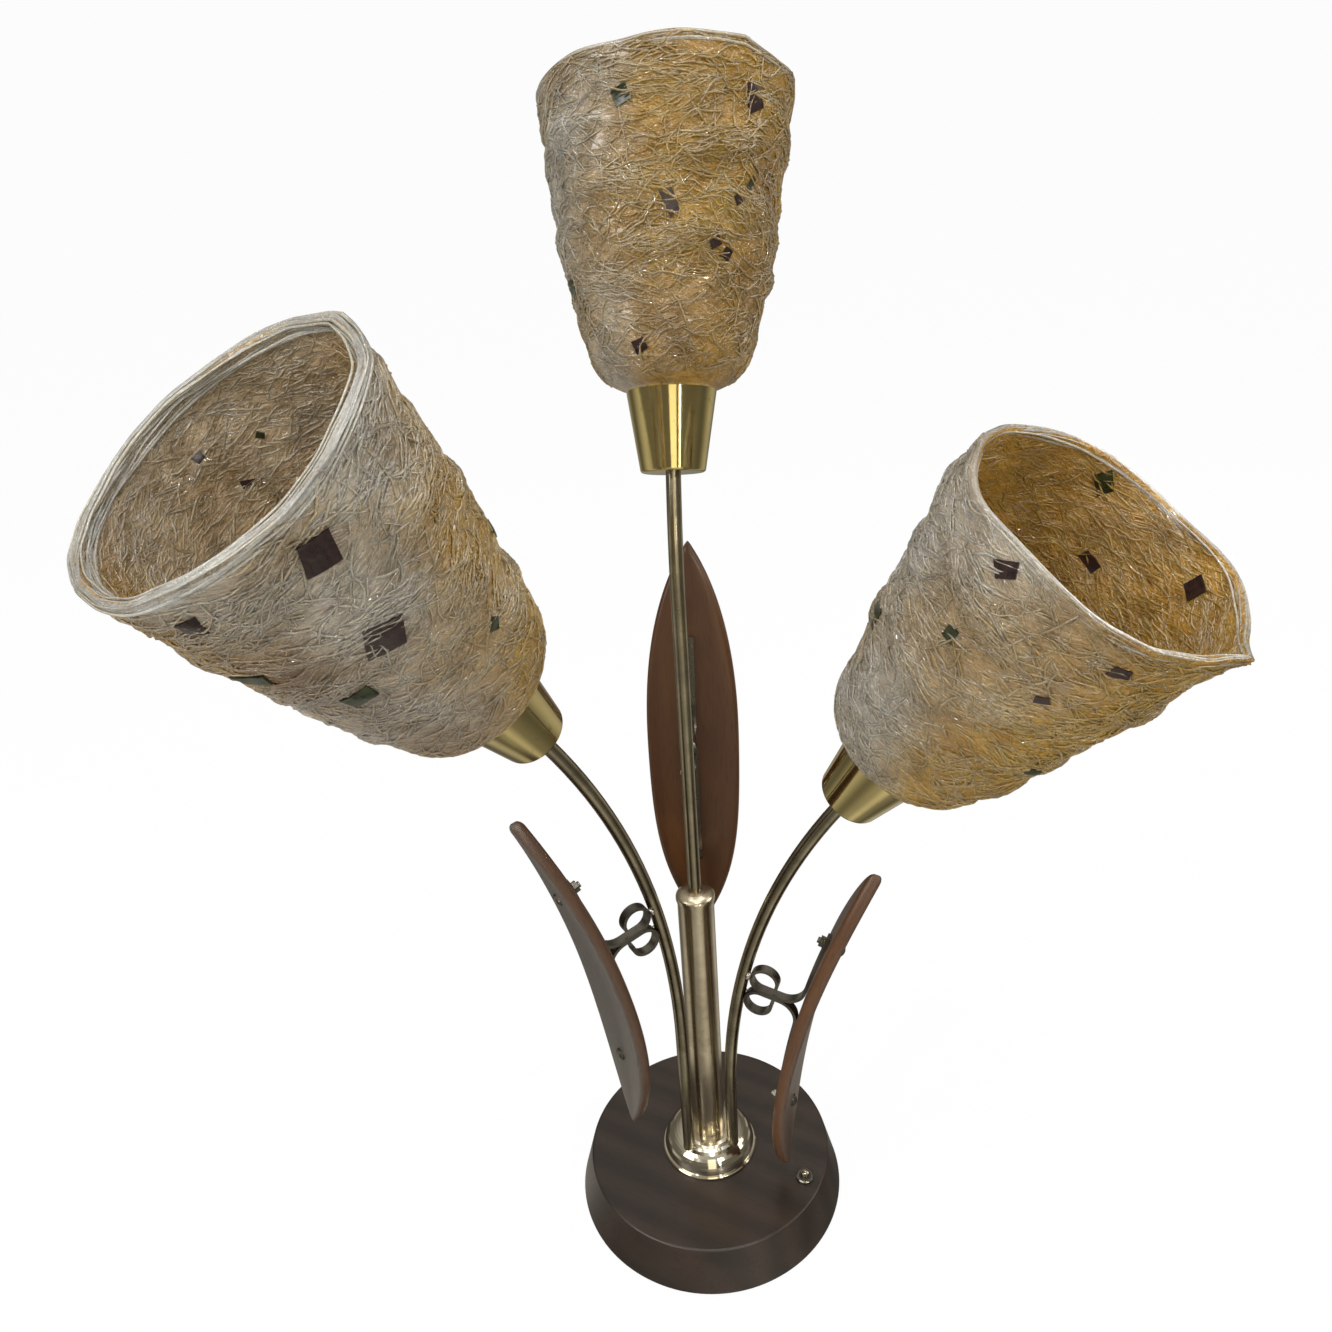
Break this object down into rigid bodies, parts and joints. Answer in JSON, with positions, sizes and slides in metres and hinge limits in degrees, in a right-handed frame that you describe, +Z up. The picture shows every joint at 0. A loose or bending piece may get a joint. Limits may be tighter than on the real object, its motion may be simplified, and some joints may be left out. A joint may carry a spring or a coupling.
{
  "type": "table lamp",
  "caption": "Table lamp on a round wooden base: bent brass stems carry cups with flared tulip shades of spun acrylic, and a wooden leaf stands off each stem on curled straps.",
  "frame": {"origin": "centre of the felt's underside, on the surface that the lamp stands on", "axes": "+Z up along the column, +Y to the back where the cord inlet is, +X to the right of someone facing the lamp's front"},
  "size_m": [0.3829, 0.314, 0.6205],
  "materials": {
    "dark_wood": "dark stained, satin",
    "ballast_iron": "raw",
    "zinc_steel": "zinc plated",
    "cover_board": "brown hardboard",
    "felt": "felt",
    "pale_plastic": "matte",
    "black_rubber": "matte",
    "polished_brass": "polished",
    "aged_brass": "aged, satin",
    "phenolic": "satin",
    "nickel": "polished",
    "wire_plastic": "insulated wire",
    "spun_acrylic": "spun acrylic strands, glossy, translucent",
    "leaf_wood": "oiled, satin",
    "dark_bronze": "dark bronze, satin"
  },
  "bodies": {
    "lamp": {"base_disc": "dark_wood", "base_weight": "ballast_iron", "weight_screws": "zinc_steel", "base_cover": "cover_board", "base_felt": "felt", "terminal_block": "pale_plastic", "inlet_bushing": "black_rubber", "flange": "polished_brass", "column_tube": "aged_brass", "column_cap": "polished_brass", "mounting_pipe": "zinc_steel", "pipe_washer": "zinc_steel", "pipe_nut": "zinc_steel", "stem_nuts": "zinc_steel", "left_stem": "aged_brass", "right_stem": "aged_brass", "centre_stem": "aged_brass", "left_wire": "wire_plastic", "right_wire": "wire_plastic", "centre_wire": "wire_plastic", "cup_nipples": "zinc_steel", "left_cup": "polished_brass", "right_cup": "polished_brass", "centre_cup": "polished_brass", "cup_nuts": "zinc_steel", "left_socket": "phenolic", "right_socket": "phenolic", "centre_socket": "phenolic", "left_shade": "spun_acrylic", "right_shade": "spun_acrylic", "centre_shade": "spun_acrylic", "shade_rings": "polished_brass", "left_leaf": "leaf_wood", "right_leaf": "leaf_wood", "back_leaf": "leaf_wood", "left_bracket_upper": "dark_bronze", "left_bracket_lower": "dark_bronze", "right_bracket_upper": "dark_bronze", "right_bracket_lower": "dark_bronze", "back_bracket_upper": "dark_bronze", "back_bracket_lower": "dark_bronze", "leaf_screws": "polished_brass", "leaf_nuts": "polished_brass", "switch_body": "phenolic", "switch_nut": "nickel"},
    "push_button": {"switch_button": "nickel"}
  },
  "joints": [
    {"name": "switch_press", "type": "slide", "parent": "lamp", "child": "push_button", "axis": [0, 0, -1], "range_m": [0, 0.0025], "stiffness_N_per_m": 400, "springref_m": -0.001}
  ]
}
